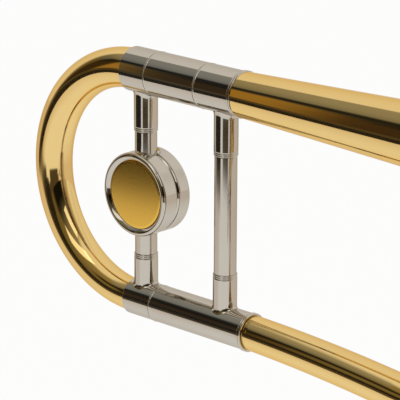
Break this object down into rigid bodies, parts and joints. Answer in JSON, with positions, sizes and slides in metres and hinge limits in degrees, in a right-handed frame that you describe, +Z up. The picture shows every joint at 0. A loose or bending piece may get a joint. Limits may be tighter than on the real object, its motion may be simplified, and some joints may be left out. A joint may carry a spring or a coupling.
{
  "type": "bass trombone",
  "caption": "Bass trombone with a flared bell, U-shaped hand slide, thumb-worked rotary valves, tuning slides and a round counterweight.",
  "frame": {"origin": "on the axis of the slide receiver, where the player's left hand holds the instrument", "axes": "+X along the tubes towards the bell and the slide's crook, +Z up from the slide towards the bell, -Y towards the mouthpiece side"},
  "size_m": [1.2514, 0.2486, 0.2826],
  "materials": {
    "black_rubber": "matt",
    "lacquered_brass": "polished, clear lacquer",
    "nickel_silver": "polished nickel silver",
    "polished_steel": "polished",
    "satin_brass": "satin",
    "silver_plate": "polished silver plate"
  },
  "bodies": {
    "horn": {"bell": "lacquered_brass", "bell_brace": "nickel_silver", "bell_ferrule": "nickel_silver", "f_loop_pipe": "lacquered_brass", "f_lower_sleeve": "nickel_silver", "f_return_pipe": "lacquered_brass", "f_stop_bumper": "black_rubber", "f_upper_sleeve": "nickel_silver", "f_valve_cap": "lacquered_brass", "f_valve_casing": "nickel_silver", "gb_loop_pipe": "lacquered_brass", "gb_lower_sleeve": "nickel_silver", "gb_return_pipe": "lacquered_brass", "gb_stop_bumper": "black_rubber", "gb_upper_sleeve": "nickel_silver", "gb_valve_cap": "lacquered_brass", "gb_valve_casing": "nickel_silver", "gooseneck": "lacquered_brass", "hand_brace": "nickel_silver", "lower_inner_tube": "polished_steel", "lower_outer_sleeve": "nickel_silver", "mouthpiece_receiver": "nickel_silver", "sleeve_brace": "nickel_silver", "slide_receiver": "nickel_silver", "slide_tenon": "nickel_silver", "upper_inner_tube": "polished_steel", "upper_outer_sleeve": "nickel_silver", "valve_pipe": "lacquered_brass"},
    "tuning_slide": {"main_bow": "lacquered_brass", "upper_bow_ferrule": "nickel_silver", "lower_bow_ferrule": "nickel_silver", "upper_inner_leg": "nickel_silver", "lower_inner_leg": "nickel_silver", "weight_brace": "nickel_silver", "counterweight_front": "nickel_silver", "counterweight_back": "nickel_silver", "counterweight_inlay": "satin_brass"},
    "hand_slide": {"lower_outer_tube": "nickel_silver", "upper_outer_tube": "nickel_silver", "grip_brace": "nickel_silver", "slide_crook": "lacquered_brass", "slide_bumper": "black_rubber"},
    "f_tuning_slide": {"f_slide_crook": "lacquered_brass", "f_upper_leg": "nickel_silver", "f_lower_leg": "nickel_silver"},
    "gb_tuning_slide": {"gb_slide_crook": "lacquered_brass", "gb_upper_leg": "nickel_silver", "gb_lower_leg": "nickel_silver"},
    "f_rotor_set": {"f_rotor": "lacquered_brass", "f_stop_arm": "polished_steel"},
    "gb_rotor_set": {"gb_rotor": "lacquered_brass", "gb_stop_arm": "polished_steel"},
    "f_thumb_lever": {"f_lever": "polished_steel"},
    "gb_thumb_lever": {"gb_lever": "polished_steel"},
    "f_link_bar": {"f_link": "polished_steel"},
    "gb_link_bar": {"gb_link": "polished_steel"},
    "water_key_lever": {"water_key": "nickel_silver"},
    "lock_ring_collar": {"lock_ring": "nickel_silver"},
    "lock_nut_collar": {"lock_nut": "nickel_silver"},
    "mouthpiece_cup": {"mouthpiece": "silver_plate"}
  },
  "joints": [
    {"name": "hand_slide_run", "type": "slide", "parent": "horn", "child": "hand_slide", "axis": [1, 0, 0], "range_m": [0, 0.6]},
    {"name": "main_tuning", "type": "slide", "parent": "horn", "child": "tuning_slide", "axis": [-1, 0, 0], "range_m": [0, 0.04]},
    {"name": "f_tuning", "type": "slide", "parent": "horn", "child": "f_tuning_slide", "axis": [-1, 0, 0], "range_m": [0, 0.05]},
    {"name": "gb_tuning", "type": "slide", "parent": "horn", "child": "gb_tuning_slide", "axis": [1, 0, 0], "range_m": [0, 0.04]},
    {"name": "f_rotor_turn", "type": "hinge", "parent": "horn", "child": "f_rotor_set", "pos_m": [-0.038, 0, 0.02328], "axis": [0, -1, 0], "range_deg": [0, 90], "stiffness_Nm_per_rad": 0.04, "springref_deg": -17.19},
    {"name": "f_lever_turn", "type": "hinge", "parent": "horn", "child": "f_thumb_lever", "pos_m": [0.005, 0, 0.04], "axis": [0, 1, 0], "range_deg": [0, 22.32]},
    {"name": "f_link_turn", "type": "hinge", "parent": "f_thumb_lever", "child": "f_link_bar", "pos_m": [-0.03093, -0.035, 0.03293], "axis": [0, -1, 0], "range_deg": [0, 22.32]},
    {"name": "gb_rotor_turn", "type": "hinge", "parent": "horn", "child": "gb_rotor_set", "pos_m": [-0.112, 0, 0.02328], "axis": [0, -1, 0], "range_deg": [0, 90], "stiffness_Nm_per_rad": 0.04, "springref_deg": -17.19},
    {"name": "gb_lever_turn", "type": "hinge", "parent": "horn", "child": "gb_thumb_lever", "pos_m": [0.005, 0, 0.04], "axis": [0, 1, 0], "range_deg": [0, 12.27]},
    {"name": "gb_link_turn", "type": "hinge", "parent": "gb_thumb_lever", "child": "gb_link_bar", "pos_m": [-0.10069, -0.044, 0.02869], "axis": [0, -1, 0], "range_deg": [0, 12.27]},
    {"name": "water_key_turn", "type": "hinge", "parent": "hand_slide", "child": "water_key_lever", "pos_m": [0.729, 0, -0.0138], "axis": [0, 1, 0], "range_deg": [0, 12], "stiffness_Nm_per_rad": 0.03, "springref_deg": -17.19},
    {"name": "slide_lock_turn", "type": "hinge", "parent": "horn", "child": "lock_ring_collar", "pos_m": [0.062, 0, 0], "axis": [1, 0, 0], "range_deg": [0, 30]},
    {"name": "lock_nut_turn", "type": "hinge", "parent": "horn", "child": "lock_nut_collar", "pos_m": [0.022, 0, 0], "axis": [1, 0, 0], "continuous": true},
    {"name": "mouthpiece_pull", "type": "slide", "parent": "horn", "child": "mouthpiece_cup", "axis": [-1, 0, 0], "range_m": [0, 0.033]}
  ],
  "couplings": [
    {"joint": "f_lever_turn", "follows": "f_rotor_turn", "ratio": 0.24742},
    {"joint": "f_link_turn", "follows": "f_rotor_turn", "ratio": 0.24742},
    {"joint": "gb_lever_turn", "follows": "gb_rotor_turn", "ratio": 0.13578},
    {"joint": "gb_link_turn", "follows": "gb_rotor_turn", "ratio": 0.13578}
  ]
}
